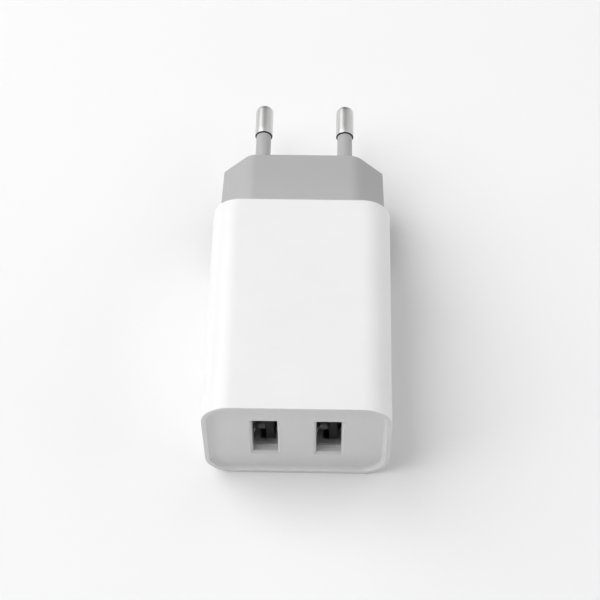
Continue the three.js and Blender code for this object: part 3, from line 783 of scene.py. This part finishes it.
def make_port_insulator(side):
    """The black moulding: a back block, and a tongue with a groove for each contact."""
    node = f"usb_port_{side}_insulator"
    low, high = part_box(node)
    x = port_centre(side)
    root = high.y - BLOCK_LENGTH
    tongue_low = (x, low.y, MID_HEIGHT - TONGUE_HEIGHT / 2)
    tongue_high = (x + TONGUE_THICKNESS, root + BEYOND, MID_HEIGHT + TONGUE_HEIGHT / 2)
    tongue = shaped(block_mesh(tongue_low, tongue_high), bevel=TONGUE_NOSE)
    back = block_mesh((low.x, root, low.z), high)
    grooves = []
    for row in CONTACT_ROWS:
        middle = MID_HEIGHT + row
        half = CONTACT_WIDTH / 2 + GAP
        groove_low = (low.x - BEYOND, low.y + GROOVE_START, middle - half)
        groove_high = (x + GROOVE_DEPTH, root + GROOVE_RUN, middle + half)
        grooves.append(block_mesh(groove_low, groove_high))
    data = shaped(back, joins=[tongue], cuts=grooves)
    return place_piece(f"port_tongue_{side}", data, "black_moulding", [node])


def make_port_contact(side, number):
    """A sprung leaf: straight from its root, bowed proud of the tongue, its tip tucked back in."""
    node = f"usb_port_{side}_contact_{number}"
    low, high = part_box(node)
    x = port_centre(side)
    seat = x + CONTACT_SEAT
    bow = low.x + CONTACT_SHEET / 2 - x
    key_points = [(x + share * bow, low.y + behind * MM) for behind, share in CONTACT_CURVE]
    key_points += [(seat, low.y + CONTACT_STRAIGHT), (seat, high.y)]
    data = ribbon(key_points, CONTACT_SHEET, (low.z + high.z) / 2, CONTACT_WIDTH)
    name = f"port_contact_{side}_{number}"
    body = f"{side}_contact_{number}"
    return place_piece(name, data, "spring_brass", [node], body, CRISP_ANGLE_OF_CONTACT)


# The parts inside keep their CAD shape and get their own finishes.


def dress_cad_nodes():
    for subpart in frame["record"]["subparts"]:
        data = frame["nodes"][subpart["node"]].data
        data.materials.clear()
        data.materials.append(MATERIALS[subpart["material_slot"]])


# Stage: the sweep is flat out to SWEEP_FLAT, then curves up to the angle SWEEP_END of its arc
SWEEP_FLAT = 1.2
SWEEP_RADIUS = 0.5
SWEEP_END = -22


def make_floor():
    """A pale sweep: flat round the charger, and rising all round it far away."""
    nodes = Nodes("floor_paper")
    nodes.colour(nodes.ramp(nodes.noise(8, 2), (0.855, 0.855, 0.855), (0.865, 0.865, 0.865)))
    nodes.roughness(nodes.between(nodes.noise(30), 0.85, 0.95))
    nodes.shader.inputs["Specular IOR Level"].default_value = 0.1
    profile = arc((SWEEP_FLAT, SWEEP_RADIUS), SWEEP_RADIUS, -90, SWEEP_END, 24)
    skin = Skin()
    middle, _ = skin.tube([(arc((0, 0), radius, 0, 360, 96)[:-1], height) for radius, height in profile])
    skin.flat(middle)
    data = skin.data("floor")
    data.transform(Matrix.Rotation(math.pi / 2, 4, "X"))
    data.shade_smooth()
    data.materials.append(nodes.material)
    floor = bpy.data.objects.new("floor", data)
    bpy.context.scene.collection.objects.link(floor)


# Soft boxes in a dome over the charger: name, bearing clockwise from +Y, height angle, size, power
SOFT_BOXES = (
    ("left_box", 270, 50, 1.3, 15.4),
    ("left_back_box", 315, 28, 0.6, 1.3),
    ("top_box", 0, 75, 1.3, 2.7),
    ("right_box", 90, 50, 1.3, 3.2),
    ("right_low_box", 90, 25, 0.8, 2.4),
    ("right_back_box", 45, 25, 0.8, 1.2),
)
BOX_DISTANCE = 1.15
SKY_STRENGTH = 0.02


def make_soft_box(name, bearing, rise, size, power):
    """A square area light on the dome, facing the charger."""
    light = bpy.data.lights.new(name, "AREA")
    light.size = size
    light.energy = power
    turn = Matrix.Rotation(math.radians(-bearing), 4, "Z")
    lift = Matrix.Rotation(math.radians(rise), 4, "X")
    place = turn @ lift @ Vector((0, BOX_DISTANCE, 0))
    box = bpy.data.objects.new(name, light)
    box.location = place
    box.rotation_euler = (-place).to_track_quat("-Z", "Y").to_euler()
    bpy.context.scene.collection.objects.link(box)


def make_lights():
    world = bpy.data.worlds.new("studio")
    world.use_nodes = True
    world.node_tree.nodes["Background"].inputs["Color"].default_value = (1, 1, 1, 1)
    world.node_tree.nodes["Background"].inputs["Strength"].default_value = SKY_STRENGTH
    bpy.context.scene.world = world
    for soft_box in SOFT_BOXES:
        make_soft_box(*soft_box)


# Camera: how far it looks down, how it is turned and tilted, and where it stands
CAMERA_DOWN = 56.43
CAMERA_TURN = 1.74
CAMERA_TILT = -0.66
CAMERA_PLACE = (5.6 * MM, -195.6 * MM, 294 * MM)
CAMERA_LENS = 94.3


def make_camera():
    data = bpy.data.cameras.new("camera")
    data.lens = CAMERA_LENS
    data.sensor_width = 36
    data.clip_start = 0.01
    data.clip_end = 20
    camera = bpy.data.objects.new("camera", data)
    turn = Matrix.Rotation(math.radians(CAMERA_TURN), 4, "Z")
    down = Matrix.Rotation(math.radians(90 - CAMERA_DOWN), 4, "X")
    tilt = Matrix.Rotation(math.radians(CAMERA_TILT), 4, "Z")
    camera.matrix_world = Matrix.Translation(CAMERA_PLACE) @ turn @ down @ tilt
    bpy.context.scene.collection.objects.link(camera)
    bpy.context.scene.camera = camera


make_camera()
make_lights()
make_floor()
bpy.context.scene.view_settings.view_transform = "Standard"
dress_cad_nodes()
make_housing()
make_end_cap()
make_plug_base()
for side in SIDES:
    make_pin(side)
    make_sleeve(side)
    make_port_shell(side)
    make_port_insulator(side)
    for number in range(1, len(CONTACT_ROWS) + 1):
        make_port_contact(side, number)
